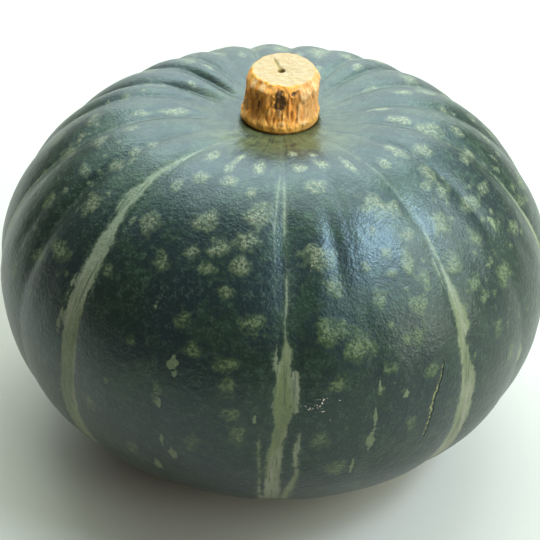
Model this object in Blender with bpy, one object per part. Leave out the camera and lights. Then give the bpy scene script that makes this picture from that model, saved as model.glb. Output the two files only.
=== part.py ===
"""Buttercup squash: a squat ribbed fruit that stands on its blossom end, with the cork stub of its stalk.

Everything is in metres, +Z up. The body is turned from one profile about the Z axis and its ribs are pressed
into that surface by formula. Azimuth is counted in degrees from the front (-Y) towards +X.
"""

import math

import bmesh
import bpy
from mathutils import Matrix, Vector

# Body of revolution, as shares of the half width
HALF_WIDTH = 0.090
CROWN = 0.803  # height of the stalk side over the equator, before the dimple
DIMPLE = 0.240  # how deep the dimple round the stalk is pressed in
DIMPLE_REACH = 0.381  # radius over which the dimple fades out
KEEL = 0.738  # depth of the blossom side under the equator, before it is flattened
CROWN_POWERS = (1.36, 0.975)  # exponents of the radius and of the height, stalk side
KEEL_POWERS = (0.91, 0.89)  # the same on the blossom side

# The stalk stands a little off the middle, and draws the crown with it
STALK_OFFSET = (0.0010, -0.0022)
OFFSET_FADES = (18.0, 85.0)  # degrees down from the stalk between which that pull fades out

# Blossom end
FOOT_DEPTH = 0.690 * HALF_WIDTH  # the resting plane's depth under the equator
BASIN_RADIUS = 0.026  # the body is flat from here out to where it starts to rise
BASIN_DEPTH = 0.0040
SCAR_RADIUS = 0.006
SCAR_HEIGHT = 0.0012

# Ribs: azimuth of each groove line in degrees, and how deep it cuts over the shoulder in metres
GROOVES = (
    (-79.0, 0.0018),
    (-58.0, 0.0012),
    (-40.0, 0.0013),
    (-20.0, 0.0006),
    (2.0, 0.0009),
    (19.0, 0.0005),
    (38.0, 0.0009),
    (57.0, 0.0010),
    (76.0, 0.0016),
    (98.0, 0.0015),
    (118.0, 0.0014),
    (136.0, 0.0016),
    (149.0, 0.0014),
    (162.0, 0.0008),
    (176.0, 0.0016),
    (191.0, 0.0017),
    (206.0, 0.0010),
    (217.0, 0.0014),
    (229.0, 0.0020),
    (247.0, 0.0018),
    (260.0, 0.0012),
)
RIB_STATIONS = (0.0, 0.08, 0.25, 0.5, 0.75, 0.92)  # where a rib has its edges, as shares of its width
LOBE_SWELL = 0.0012  # how far the fullest lobe stands out over the flattest one
SWELL_WAVES = ((0.5, 2.0, 0.6), (0.3, 3.0, -1.1), (0.2, 5.0, 0.0))  # share, swells in a turn, phase in radians

# Grooves along the body, by the angle down from the stalk
GROOVE_STARTS = (16.0, 36.0)  # they open between these angles
GROOVE_EASES = (40.0, 100.0)  # and ease from full depth to SIDE_SHARE between these
SIDE_SHARE = 0.55
GROOVE_ENDS = (108.0, 145.0)  # and close before the foot

# Stalk stub, measured up from the skin it sits on
SOCKET_RADIUS = 0.0113
SOCKET_DEPTH = 0.0025
GAP = 0.0003
STEM_SIDE = (  # height and radius, from under the lip to the edge of the cut face
    (0.0004, 0.0113),
    (0.0009, 0.0120),
    (0.0018, 0.0125),
    (0.0030, 0.0127),
    (0.0050, 0.0126),
    (0.0075, 0.0123),
    (0.0100, 0.0119),
    (0.0122, 0.0115),
    (0.0142, 0.0110),
    (0.0157, 0.0104),
    (0.0167, 0.0097),
    (0.0172, 0.0088),
)
STEM_HEIGHT, FACE_RADIUS = STEM_SIDE[-1]
LIP_HEIGHT = 0.0040  # the ribs fade in below this
STEM_RIBS = 11
STEM_RIB_DEPTH = 0.00055
RIB_DRIFT = 1.2  # how unevenly the ribs are spaced, in radians of a rib's own wave
TOP_SWELL = 0.0008  # the top bulges this far to +X, and draws in as far on the other side
CUT_TILT = math.radians(4.0)  # the cut face looks a little to the front
CUT_DISH = 0.0006
PITH_RADIUS = 0.0011
PITH_DEPTH = 0.0040
PITH_TAPER = 0.8  # radius of the hole's floor, as a share of its mouth

# Mesh fineness
SHARP_ANGLE = math.radians(40.0)  # edges that turn further than this are shaded sharp
BODY_RINGS = 32
LENGTH_SAMPLES = 50  # samples between two rings, by which the outline's length is measured
BASIN_STATIONS = (1.0, 0.75, 0.5, 0.24, 0.0)  # where the basin has its rings, as shares of its radius
FACE_STATIONS = (0.75, 0.5, 0.27)  # where the cut face has its rings, as shares of its radius
STEM_STEPS = 44


def clear_scene():
    for thing in list(bpy.data.objects):
        bpy.data.objects.remove(thing, do_unlink=True)


def ramp(value, low, high):
    """0 below low, 1 above high, smooth between."""
    share = min(max((value - low) / (high - low), 0.0), 1.0)
    return share * share * (3.0 - 2.0 * share)


def body_point(turn):
    """Radius and height of the ungrooved body; turn runs from 0 at the stalk to pi at the blossom scar."""
    sine, cosine = math.sin(turn), math.cos(turn)
    if cosine >= 0.0:
        radius = sine ** CROWN_POWERS[0]
        height = CROWN * cosine ** CROWN_POWERS[1]
        height -= DIMPLE * math.exp(-((radius / DIMPLE_REACH) ** 2))
        return radius * HALF_WIDTH, height * HALF_WIDTH
    radius = sine ** KEEL_POWERS[0]
    return radius * HALF_WIDTH, -KEEL * abs(cosine) ** KEEL_POWERS[1] * HALF_WIDTH


def turn_at_radius(radius):
    """The turn at which the stalk side reaches a radius."""
    return math.asin((radius / HALF_WIDTH) ** (1.0 / CROWN_POWERS[0]))


def turn_at_foot():
    """The turn at which the blossom side reaches the resting plane."""
    return math.pi - math.acos((FOOT_DEPTH / (KEEL * HALF_WIDTH)) ** (1.0 / KEEL_POWERS[1]))


def even_points(start, end, count):
    """Points of the body between two turns, at even steps along its outline."""
    fine = LENGTH_SAMPLES * count
    points = [body_point(start + (end - start) * i / fine) for i in range(fine + 1)]
    lengths = [0.0]
    for before, after in zip(points, points[1:]):
        lengths.append(lengths[-1] + math.dist(before, after))
    chosen = [0]
    for step in range(1, count):
        wanted = lengths[-1] * step / count
        chosen.append(next(i for i in range(chosen[-1], fine) if lengths[i] >= wanted))
    return [points[i] for i in chosen + [fine]]


def basin_height(radius):
    """Height of the blossom basin, with the scar in its middle, from the equator."""
    hollow = BASIN_DEPTH * (1.0 - (radius / BASIN_RADIUS) ** 2) ** 2
    scar = SCAR_HEIGHT * max(1.0 - (radius / SCAR_RADIUS) ** 2, 0.0)
    return hollow - scar - FOOT_DEPTH


def body_outline():
    """The turned outline: floor and wall of the stalk's socket, the body, the flat foot ring and the basin."""
    body = even_points(turn_at_radius(SOCKET_RADIUS), turn_at_foot(), BODY_RINGS)
    floor = body[0][1] - SOCKET_DEPTH
    basin = [(BASIN_RADIUS * share, basin_height(BASIN_RADIUS * share)) for share in BASIN_STATIONS]
    return [(0.0, floor), (body[0][0], floor)] + body + basin


STEPS_ROUND = len(GROOVES) * len(RIB_STATIONS)


def rib_place(step):
    """Azimuth in degrees of one mesh step, and how deep a groove cuts there before it is faded."""
    rib, station = divmod(step, len(RIB_STATIONS))
    azimuth, depth = GROOVES[rib]
    next_azimuth, next_depth = GROOVES[(rib + 1) % len(GROOVES)]
    width = (next_azimuth - azimuth) % 360.0
    share = RIB_STATIONS[station]
    side = 2.0 * share - 1.0
    cut = (depth if side < 0.0 else next_depth) * side * side
    return azimuth + width * share, cut


def groove_fade(down):
    """Share of the full groove depth at an angle down from the stalk, in degrees."""
    opening = ramp(down, *GROOVE_STARTS)
    easing = 1.0 - (1.0 - SIDE_SHARE) * ramp(down, *GROOVE_EASES)
    closing = 1.0 - ramp(down, *GROOVE_ENDS)
    return opening * easing * closing


def lobe_flatness(azimuth):
    """0 on the fullest lobes and 1 on the flattest, a slow change round the body."""
    angle = math.radians(azimuth)
    wave = sum(share * math.sin(swells * angle + phase) for share, swells, phase in SWELL_WAVES)
    return 0.5 - 0.5 * wave


def pressed(radius, height, azimuth, cut):
    """A point of the body with its groove pressed in towards the middle."""
    down = math.degrees(math.atan2(radius, height))
    swell = LOBE_SWELL * (lobe_flatness(azimuth) - 0.5) * math.sin(math.radians(down)) ** 2
    size = math.hypot(radius, height)
    inward = cut * groove_fade(down) + swell * (1.0 - ramp(down, *GROOVE_ENDS))
    scale = 1.0 - inward / size
    return radius * scale, height * scale


def at_azimuth(radius, height, azimuth):
    """A point of the body by its azimuth, pulled towards the stalk where it is high up."""
    angle = math.radians(azimuth)
    pull = 1.0 - ramp(math.degrees(math.atan2(radius, height)), *OFFSET_FADES)
    x = radius * math.sin(angle) + STALK_OFFSET[0] * pull
    y = -radius * math.cos(angle) + STALK_OFFSET[1] * pull
    return Vector((x, y, height))


def turned(outline, steps):
    """A closed body turned about Z from an outline that starts and ends on the axis."""
    mesh = bmesh.new()
    verts = [mesh.verts.new((radius, 0.0, height)) for radius, height in outline]
    edges = [mesh.edges.new(pair) for pair in zip(verts, verts[1:])]
    bmesh.ops.spin(mesh, geom=verts + edges, axis=(0, 0, 1), cent=(0, 0, 0), angle=math.tau, steps=steps,
                   use_merge=True)
    bmesh.ops.remove_doubles(mesh, verts=mesh.verts, dist=1e-6)
    bmesh.ops.recalc_face_normals(mesh, faces=mesh.faces)
    return mesh


def step_of(vert, steps):
    """Which turning step a vertex belongs to."""
    return round(math.atan2(vert.co.y, vert.co.x) / math.tau * steps) % steps


def material(name, colour, roughness):
    made = bpy.data.materials.new(name)
    made.use_nodes = True
    shader = made.node_tree.nodes["Principled BSDF"]
    shader.inputs["Base Color"].default_value = (*colour, 1.0)
    shader.inputs["Roughness"].default_value = roughness
    shader.inputs["Metallic"].default_value = 0.0
    return made


def add_object(name, mesh, finish):
    data = bpy.data.meshes.new(name)
    mesh.to_mesh(data)
    mesh.free()
    data.materials.append(finish)
    data.shade_smooth()
    data.set_sharp_from_angle(angle=SHARP_ANGLE)
    made = bpy.data.objects.new(name, data)
    bpy.context.collection.objects.link(made)
    return made


def make_fruit():
    mesh = turned(body_outline(), STEPS_ROUND)
    for vert in mesh.verts:
        radius = math.hypot(vert.co.x, vert.co.y)
        azimuth, cut = rib_place(step_of(vert, STEPS_ROUND))
        vert.co = at_azimuth(*pressed(radius, vert.co.z, azimuth, cut), azimuth)
    return add_object("fruit", mesh, material("rind", (0.030, 0.052, 0.040), 0.42))


def stem_outline():
    """Outline of the stub from the middle of its root to the bottom of the pith hole, up from the skin."""
    root = SOCKET_RADIUS - GAP
    outline = [(0.0, GAP - SOCKET_DEPTH), (root, GAP - SOCKET_DEPTH), (root, STEM_SIDE[0][0])]
    outline += [(radius, height) for height, radius in STEM_SIDE]
    for share in FACE_STATIONS:
        outline.append((FACE_RADIUS * share, STEM_HEIGHT - CUT_DISH * (1.0 - share * share)))
    dished = STEM_HEIGHT - CUT_DISH
    pith_floor = dished - PITH_DEPTH
    outline += [(PITH_RADIUS, dished), (PITH_RADIUS * PITH_TAPER, pith_floor), (0.0, pith_floor)]
    return outline


def stem_point(radius, angle, height):
    """Where a point of the turned stub lies on the ribbed one, which leans out at the top and is cut aslant."""
    risen = ramp(height, 0.0, STEM_HEIGHT)
    outer = ramp(height, STEM_SIDE[0][0], LIP_HEIGHT) * ramp(radius, PITH_RADIUS, FACE_RADIUS)
    rib = 0.5 + 0.5 * math.cos(STEM_RIBS * angle + RIB_DRIFT * math.sin(2.0 * angle))
    wanted = radius + outer * (TOP_SWELL * risen * math.cos(angle) - STEM_RIB_DEPTH * rib)
    across = wanted * math.sin(angle)
    slant = across * math.tan(CUT_TILT) * ramp(height, 0.5 * STEM_HEIGHT, STEM_HEIGHT)
    return Vector((wanted * math.cos(angle), across, height + slant))


def make_stem():
    mesh = turned(stem_outline(), STEM_STEPS)
    seat = Vector((*STALK_OFFSET, body_point(turn_at_radius(SOCKET_RADIUS))[1]))
    for vert in mesh.verts:
        radius = math.hypot(vert.co.x, vert.co.y)
        angle = math.atan2(vert.co.y, vert.co.x)
        vert.co = stem_point(radius, angle, vert.co.z) + seat
    return add_object("stem", mesh, material("cork", (0.560, 0.340, 0.150), 0.80))


def stand_on_origin(things):
    """Shifts every mesh so that the middle of the footprint is the origin and the resting plane is z = 0."""
    corners = [corner.co for thing in things for corner in thing.data.vertices]
    low = Vector([min(corner[axis] for corner in corners) for axis in range(3)])
    high = Vector([max(corner[axis] for corner in corners) for axis in range(3)])
    shift = Vector((-(low.x + high.x) / 2.0, -(low.y + high.y) / 2.0, -low.z))
    for thing in things:
        thing.data.transform(Matrix.Translation(shift))


clear_scene()
stand_on_origin([make_fruit(), make_stem()])
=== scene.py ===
import math

import bmesh
import bpy
import numpy as np
from mathutils import Matrix, Vector, noise


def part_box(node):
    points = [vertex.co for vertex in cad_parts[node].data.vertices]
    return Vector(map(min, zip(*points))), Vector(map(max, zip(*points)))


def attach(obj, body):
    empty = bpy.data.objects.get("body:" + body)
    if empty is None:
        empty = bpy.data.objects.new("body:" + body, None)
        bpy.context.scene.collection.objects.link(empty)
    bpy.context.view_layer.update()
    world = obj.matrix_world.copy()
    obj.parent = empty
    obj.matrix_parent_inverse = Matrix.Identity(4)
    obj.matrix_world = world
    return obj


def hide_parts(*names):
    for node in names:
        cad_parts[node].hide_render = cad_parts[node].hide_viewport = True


# Buttercup squash: a waxy ribbed rind with pale stripes and speckled blotches, and a cork stalk stub.
# Lengths are in metres where nothing else is said. Azimuth is counted in degrees from the front (-Y)
# towards +X. Arc is the way down the skin from the stalk's middle.

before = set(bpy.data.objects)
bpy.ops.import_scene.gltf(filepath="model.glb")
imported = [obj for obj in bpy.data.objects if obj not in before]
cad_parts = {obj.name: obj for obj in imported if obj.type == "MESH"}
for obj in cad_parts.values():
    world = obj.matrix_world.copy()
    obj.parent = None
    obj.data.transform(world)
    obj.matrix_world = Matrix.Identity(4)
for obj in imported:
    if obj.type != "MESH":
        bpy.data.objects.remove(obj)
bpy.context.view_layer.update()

MM = 0.001

# The body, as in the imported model
HALF_WIDTH = 0.090
CROWN = 0.803
DIMPLE = 0.240
DIMPLE_REACH = 0.381
KEEL = 0.738
CROWN_POWERS = (1.36, 0.975)
KEEL_POWERS = (0.91, 0.89)
STALK_OFFSET = (0.0010, -0.0022)
OFFSET_FADES = (18.0, 85.0)
FOOT_DEPTH = 0.690 * HALF_WIDTH
BASIN_RADIUS = 0.026
BASIN_DEPTH = 0.0040
SCAR_RADIUS = 0.006
SCAR_HEIGHT = 0.0012
GROOVES = (  # azimuth and depth
    (-79.0, 0.0018),
    (-58.0, 0.0012),
    (-40.0, 0.0013),
    (-20.0, 0.0006),
    (2.0, 0.0009),
    (19.0, 0.0005),
    (38.0, 0.0009),
    (57.0, 0.0010),
    (76.0, 0.0016),
    (98.0, 0.0015),
    (118.0, 0.0014),
    (136.0, 0.0016),
    (149.0, 0.0014),
    (162.0, 0.0008),
    (176.0, 0.0016),
    (191.0, 0.0017),
    (206.0, 0.0010),
    (217.0, 0.0014),
    (229.0, 0.0020),
    (247.0, 0.0018),
    (260.0, 0.0012),
)
LOBE_SWELL = 0.0012
SWELL_WAVES = ((0.5, 2.0, 0.6), (0.3, 3.0, -1.1), (0.2, 5.0, 0.0))
GROOVE_STARTS = (16.0, 36.0)
GROOVE_EASES = (40.0, 100.0)
SIDE_SHARE = 0.55
GROOVE_ENDS = (108.0, 145.0)
SOCKET_RADIUS = 0.0113
SOCKET_DEPTH = 0.0025

# The stalk stub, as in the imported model
GAP = 0.0003
STEM_SIDE = (  # height and radius
    (0.0004, 0.0113),
    (0.0009, 0.0120),
    (0.0018, 0.0125),
    (0.0030, 0.0127),
    (0.0050, 0.0126),
    (0.0075, 0.0123),
    (0.0100, 0.0119),
    (0.0122, 0.0115),
    (0.0142, 0.0110),
    (0.0157, 0.0104),
    (0.0167, 0.0097),
    (0.0172, 0.0088),
)
STEM_HEIGHT = STEM_SIDE[-1][0]
FACE_RADIUS = 0.0096
TOP_SWELL = 0.0008
CUT_TILT = math.radians(4.0)
CUT_DISH = 0.0006
PITH_RADIUS = 0.0011
PITH_DEPTH = 0.0040
FACE_SHARES = (0.9, 0.75, 0.5, 0.27, 0.16)  # of the cut face's radius, where its dished outline has a point

# Pale stripes near the front, drawn one by one. Each has a main stroke, then one to its left and one to its
# right. A stroke is a row of points: arc in mm, azimuth of its middle, half width in mm. It fades out where
# the half width is below about 0.
HIDDEN = -5.0  # a half width at which nothing of a stroke shows
NO_STROKE = ((0, 0.0, HIDDEN),)
LEFT_STRIPE = (
    (
        (26, -38.2, -0.5),
        (34, -38.8, 0.4),
        (45, -41.0, 0.7),
        (52, -42.3, 1.0),
        (60, -43.0, 1.8),
        (66, -43.0, 1.5),
        (69, -42.2, 1.1),
        (76, -41.8, 2.4),
        (90, -41.5, 2.9),
        (100, -41.6, 3.2),
        (110, -41.0, 3.1),
        (120, -41.0, 2.9),
        (130, -41.8, 3.2),
        (150, -41.5, 3.2),
        (190, -40.5, 1.8),
    ),
    ((57, -44.6, -1.0), (61, -44.8, 0.4), (67, -44.5, 0.7), (70, -44.0, -1.0),
     (88, -44.2, -1.0), (92, -44.3, 0.35), (106, -44.4, 0.45), (111, -43.8, -1.0)),
    NO_STROKE,
)
MIDDLE_STRIPE = (
    (
        (40, 2.0, -0.6),
        (46, 2.2, 0.2),
        (50, 2.3, 0.45),
        (62, 2.3, 0.40),
        (66, 2.4, -0.6),
        (73, 2.7, -0.4),
        (77, 2.8, 0.40),
        (84, 2.8, 0.45),
        (88, 2.5, 0.15),
        (93, 2.7, 0.3),
        (96, 3.0, 1.3),
        (100, 2.6, 2.0),
        (106, 2.4, 2.5),
        (115, 2.3, 2.6),
        (120, 2.1, 2.2),
        (125, 1.5, 2.0),
        (132, 1.0, 2.2),
        (142, 0.9, 2.3),
        (150, 0.8, 2.7),
        (190, 1.4, 1.8),
    ),
    ((38, 0.8, -0.6), (43, 0.6, 0.15), (50, 0.0, 0.30), (62, -0.3, 0.30), (66, -0.2, -0.3),
     (92, 0.9, -0.5), (96, 1.0, 0.40), (103, 1.0, 0.45), (107, 1.0, -0.8), (121, -1.5, -0.8),
     (125, -1.7, 0.35), (150, -1.7, 0.5), (158, -1.4, 0.9), (190, 0.0, -1.0)),
    ((101, 4.4, -1.0), (102, 4.4, 1.1), (108, 4.3, 1.6), (114, 4.4, 1.5), (115, 4.6, -1.0),
     (120, 5.5, -0.6), (122, 5.5, 0.5), (129, 4.8, 0.9), (138, 5.2, 0.6), (147, 4.3, 1.2),
     (156, 3.8, 1.6), (190, 2.5, -0.5)),
)
RIGHT_STRIPE = (
    (
        (22, 35.6, -0.6),
        (36, 36.6, 0.0),
        (48, 37.8, -0.1),
        (60, 39.1, 0.0),
        (66, 39.2, 0.0),
        (74, 38.8, 0.5),
        (80, 39.0, 0.45),
        (86, 38.9, 1.2),
        (95, 39.1, 2.1),
        (100, 39.2, 2.5),
        (103, 38.2, 1.7),
        (110, 38.3, 1.9),
        (115, 39.1, 2.9),
        (130, 39.0, 3.0),
        (150, 38.4, 3.4),
        (190, 38.2, 1.8),
    ),
    ((75, 37.9, -0.8), (79, 37.5, 0.35), (86, 37.5, 0.45), (91, 38.0, -0.8)),
    NO_STROKE,
)
FLANK_BAND = (  # a soft grey one in the fold of the left flank
    (
        (44, -59.5, -1.4),
        (54, -59.5, -0.5),
        (80, -58.8, -0.35),
        (108, -58.6, -0.4),
        (128, -58.4, -1.4),
        (190, -58.0, -3.0),
    ),
    NO_STROKE,
    NO_STROKE,
)
FAINT_STRIPES = (-79.0, 76.0, 118.0, 149.0, 191.0, 217.0, 247.0)  # azimuths of the plainer ones
FAINT_WIDTHS = (
    (24, -1.0),
    (40, -0.4),
    (55, -0.2),
    (72, 0.2),
    (90, 1.2),
    (110, 2.2),
    (135, 2.8),
    (165, 2.5),
    (190, 1.6),
)
STRIPE_ENDS = (5.5, 8.0)  # degrees from a stripe's middle over which it dies away

# Speckled blotches near the front: azimuth, arc in mm, half width and half height in mm
BLOTCHES = (
    (-30.5, 37.5, 2.0, 3.8),
    (-19.5, 35.0, 1.3, 3.4),
    (-20.0, 41.0, 1.6, 2.7),
    (-8.0, 39.0, 2.1, 5.0),
    (-27.5, 47.5, 2.9, 2.4),
    (-17.5, 46.5, 2.9, 2.6),
    (-8.5, 50.0, 1.7, 2.2),
    (-5.0, 57.5, 4.0, 4.1),
    (-33.0, 53.0, 2.3, 2.8),
    (-19.0, 61.5, 4.0, 3.5),
    (-33.0, 67.0, 3.6, 4.2),
    (-38.5, 68.5, 1.5, 1.5),
    (-7.0, 66.0, 3.9, 3.0),
    (-14.0, 69.0, 3.8, 2.8),
    (-7.5, 73.0, 3.3, 2.8),
    (-57.0, 45.0, 2.0, 2.2),
    (-58.5, 50.5, 2.0, 2.4),
    (-73.0, 57.5, 4.0, 2.2),
    (-57.5, 58.0, 3.2, 2.6),
    (-64.0, 65.5, 3.8, 1.8),
    (-52.0, 87.0, 5.0, 2.8),
    (8.5, 38.5, 2.5, 2.4),
    (19.5, 38.0, 2.4, 3.4),
    (7.5, 29.5, 1.7, 3.2),
    (18.5, 31.0, 1.6, 2.8),
    (29.5, 42.0, 1.4, 5.0),
    (12.5, 47.5, 3.2, 3.0),
    (28.5, 57.5, 4.2, 4.3),
    (34.0, 60.0, 2.4, 2.6),
    (43.0, 45.0, 1.9, 2.8),
    (54.0, 43.0, 2.8, 4.4),
    (62.0, 49.0, 3.8, 3.2),
    (53.5, 55.0, 2.9, 3.2),
    (49.0, 58.5, 2.3, 1.9),
    (52.5, 61.8, 3.5, 2.8),
    (72.5, 60.5, 3.8, 2.2),
    (10.0, 70.0, 4.8, 4.0),
    (30.5, 76.5, 2.4, 4.4),
    (26.0, 72.5, 2.4, 1.8),
    (26.0, 78.0, 2.2, 1.6),
    (44.0, 70.0, 3.6, 4.4),
    (58.0, 70.5, 5.6, 2.6),
    (66.5, 70.5, 4.4, 1.8),
    (66.0, 86.0, 4.0, 2.8),
    (11.5, 91.0, 5.2, 4.0),
    (16.5, 96.5, 4.4, 4.0),
    (42.0, 81.5, 2.8, 3.2),
    (33.5, 82.0, 2.1, 3.6),
)

# Fainter ones
HAZY_BLOTCHES = (
    (-25.5, 76.0, 2.8, 3.4),
    (-14.5, 75.0, 3.1, 2.0),
    (-9.5, 80.5, 2.8, 2.1),
    (-3.5, 88.5, 4.0, 3.8),
    (-19.5, 71.0, 2.6, 2.2),
    (-52.5, 71.0, 3.4, 5.2),
    (-50.5, 65.0, 2.0, 1.4),
    (-57.5, 93.5, 3.8, 3.2),
    (-37.0, 84.5, 2.2, 2.4),
    (-17.5, 90.0, 2.7, 2.3),
    (-15.0, 98.0, 3.0, 2.4),
    (-27.0, 100.0, 1.8, 2.2),
    (-8.0, 100.5, 3.8, 2.8),
    (-7.5, 107.5, 3.4, 3.8),
    (-7.0, 115.5, 3.0, 2.6),
    (-20.5, 113.0, 1.8, 4.8),
    (-5.5, 122.0, 3.2, 4.4),
    (-35.5, 126.0, 2.2, 3.4),
    (-31.0, 114.5, 1.2, 2.2),
    (-14.0, 128.0, 2.4, 4.0),
    (-27.0, 138.0, 2.2, 4.0),
    (34.0, 69.0, 2.4, 2.2),
    (52.0, 80.0, 3.2, 2.4),
    (13.0, 79.0, 4.8, 3.4),
    (60.0, 80.0, 2.0, 3.0),
    (45.0, 90.0, 4.0, 3.0),
    (30.0, 88.0, 3.2, 3.2),
    (22.0, 84.0, 2.8, 3.0),
    (55.0, 93.0, 5.0, 3.4),
    (28.0, 97.0, 4.4, 3.4),
    (46.5, 94.5, 2.4, 2.4),
    (12.0, 106.0, 3.2, 3.2),
    (22.0, 104.0, 3.0, 3.0),
    (30.5, 108.0, 2.6, 3.6),
    (9.0, 124.0, 3.4, 3.6),
    (12.5, 136.0, 3.4, 4.0),
    (26.0, 124.0, 2.4, 3.6),
    (48.0, 106.0, 3.0, 3.4),
    (52.0, 118.0, 2.4, 3.8),
    (-66.0, 80.0, 3.2, 3.2),
    (-64.0, 104.0, 2.8, 3.4),
)
SPARE_ROOM = 9.0  # millimetres at least between the middles of two blotches that are strewn elsewhere
FRONT_SIDE = 72.0  # azimuth either way beyond which blotches are strewn
STREWN = 420  # places tried for them
# Where small faint specks are strewn between the blotches: azimuths, arcs in mm, and how many
SPECKLED = (
    ((20.0, 70.0), (58.0, 112.0), 52),
    ((-95.0, -46.0), (50.0, 112.0), 38),
    ((75.0, 262.0), (45.0, 120.0), 120),
)
SPECK_SIZES = (1.0, 1.8)  # least and greatest half width, and half height, in mm

# Flat clean-edged flecks: azimuth, arc in mm, half width and half height in mm
FLECKS = (
    (-18.0, 103.0, 1.5, 2.4),
    (-17.5, 105.5, 0.9, 1.7),
    (-23.8, 88.0, 0.6, 2.6),
    (-18.0, 135.5, 1.4, 2.6),
    (-20.0, 130.5, 0.8, 3.0),
    (-22.0, 144.0, 1.1, 5.0),
    (-20.2, 116.0, 0.8, 2.0),
    (23.0, 108.5, 0.9, 0.9),
    (25.0, 113.0, 1.1, 1.7),
    (19.7, 108.5, 0.5, 4.2),
    (19.0, 118.5, 0.7, 4.4),
    (15.5, 137.0, 0.6, 5.0),
    (18.5, 127.0, 1.6, 3.2),
    (57.0, 123.0, 1.6, 4.2),
    (35.7, 130.0, 0.7, 0.8),
    (-3.0, 112.0, 0.6, 1.6),
    (-2.6, 116.5, 0.6, 1.6),
    (60.0, 79.5, 0.9, 3.0),
)

# Small nicks, dried pale: azimuth, arc in mm, half width and half height in mm
NICKS = (
    (9.2, 110.4, 1.6, 1.6),
    (7.3, 112.6, 2.4, 1.4),
    (9.5, 113.0, 1.6, 1.5),
    (10.3, 116.5, 1.2, 1.2),
    (12.2, 111.0, 1.2, 1.2),
    (3.1, 109.8, 1.2, 1.8),
    (8.5, 74.0, 1.0, 1.5),
)
# A long pale scratch and a thin dark line of painted shade along the groove beside the right stripe, both
# as strokes
SCRATCH = ((105, 33.2, -0.8), (107, 33.0, 0.15), (113, 31.8, 0.35), (118, 30.5, 0.45), (124, 30.2, 0.30),
           (131, 29.5, 0.20), (133, 29.4, -0.8))
GROOVE_SHADE_LINE = ((52, 37.4, -0.8), (55, 37.3, 0.20), (62, 37.2, 0.40), (68, 37.0, 0.15), (72, 36.8, -0.8))

# Shallow creases of the skin: azimuth, first and last arc in mm, half width and depth in mm
CREASES = (
    (5.5, 60.0, 112.0, 4.2, 0.50),
    (14.4, 56.0, 78.0, 2.0, 0.35),
    (19.5, 54.0, 86.0, 4.0, -0.45),  # a fuller place, where the groove is all but lost
    (33.5, 66.0, 84.0, 3.0, 0.25),
    (-13.0, 60.0, 110.0, 6.0, 0.25),
    (-27.0, 70.0, 120.0, 5.0, 0.25),
    (-50.0, 50.0, 105.0, 4.0, 0.30),
    (47.5, 55.0, 100.0, 4.0, 0.30),
    (66.0, 50.0, 100.0, 4.0, 0.30),
    (27.5, 92.0, 125.0, 4.0, 0.25),
    (-130.5, 19.0, 40.0, 2.2, 1.00),
    (-112.0, 20.0, 42.0, 2.2, 0.90),
    (-84.0, 26.0, 60.0, 2.6, 0.35),
    (-66.0, 72.0, 98.0, 2.2, 0.35),
    (-58.5, 60.0, 100.0, 2.2, 0.45),
)
# Finer unevenness: depth, size of its bumps, and which layer of the noise
UNEVENNESS = ((0.00035, 0.030, 0.0), (0.00012, 0.011, 5.0), (0.00005, 0.0036, 9.0))
UNEVEN_STARTS = (12.5 * MM, 21.0 * MM)  # arcs over which it begins
UNEVEN_ENDS = (170.0 * MM, 185.0 * MM)  # and over which it ends
STRIPE_SINK = 0.00012  # how far the stripes lie in
BLOTCH_RISE = 0.00008  # how far the blotches stand out
STREAK_DEPTH = 0.00016  # of the fine lines that run out from the stalk

# Lengthwise fissures of the stalk: azimuth, lowest and highest point, half width and depth in mm
FISSURES = (
    (-76.0, 3.0, 13.0, 0.45, 0.45),
    (-66.0, 2.0, 9.0, 0.35, 0.35),
    (-57.0, 3.5, 14.0, 0.45, 0.45),
    (-49.0, 2.5, 12.0, 0.50, 0.55),
    (-42.0, 3.5, 13.0, 0.75, 0.70),
    (-34.0, 2.0, 12.5, 0.40, 0.55),
    (-26.0, 3.0, 9.0, 0.25, 0.25),
    (-19.0, 2.5, 14.5, 0.30, 0.35),
    (-12.0, 1.8, 8.0, 0.32, 0.45),
    (-5.5, 2.5, 7.5, 0.25, 0.35),
    (1.0, 2.0, 8.0, 0.32, 0.50),
    (8.5, 2.2, 15.0, 0.32, 0.50),
    (15.5, 3.0, 14.5, 0.38, 0.55),
    (23.0, 2.2, 13.5, 0.30, 0.45),
    (31.0, 2.0, 8.5, 0.22, 0.25),
    (40.0, 5.0, 14.0, 0.20, 0.20),
    (51.0, 2.5, 14.5, 0.28, 0.30),
    (63.0, 4.0, 13.0, 0.22, 0.25),
    (74.0, 2.5, 12.0, 0.30, 0.35),
)
FISSURE_SPACING = 8.0  # degrees between the fissures strewn round the back
FRONT_FISSURES = 80.0  # azimuth either way up to which they are the ones listed above
FISSURE_TURN = 2.4  # radians from one fissure to the next in the way they mix the two layers of noise

# Dark decayed patches and brown stained ones on the stalk: azimuth, then height, half width and half height
# in mm
DECAY = (
    (-6.5, 12.6, 2.1, 3.6),
    (-1.0, 10.2, 1.5, 3.0),
    (-11.0, 9.6, 1.1, 2.2),
    (17.5, 14.2, 1.7, 1.3),
    (-42.0, 8.6, 0.4, 1.6),
    (150.0, 12.0, 1.6, 2.4),
    (232.0, 9.0, 1.0, 3.0),
)
STAIN = (
    (-42.0, 9.0, 2.6, 5.4),
    (-53.0, 8.0, 1.2, 4.0),
    (-5.0, 11.0, 3.4, 6.0),
    (19.0, 12.0, 2.4, 4.4),
    (12.0, 6.0, 1.0, 3.2),
    (-68.0, 6.0, 1.2, 3.6),
    (100.0, 8.0, 1.6, 4.4),
    (150.0, 10.0, 2.6, 5.4),
    (196.0, 9.0, 1.6, 4.6),
    (232.0, 8.4, 2.2, 5.2),
)
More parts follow.
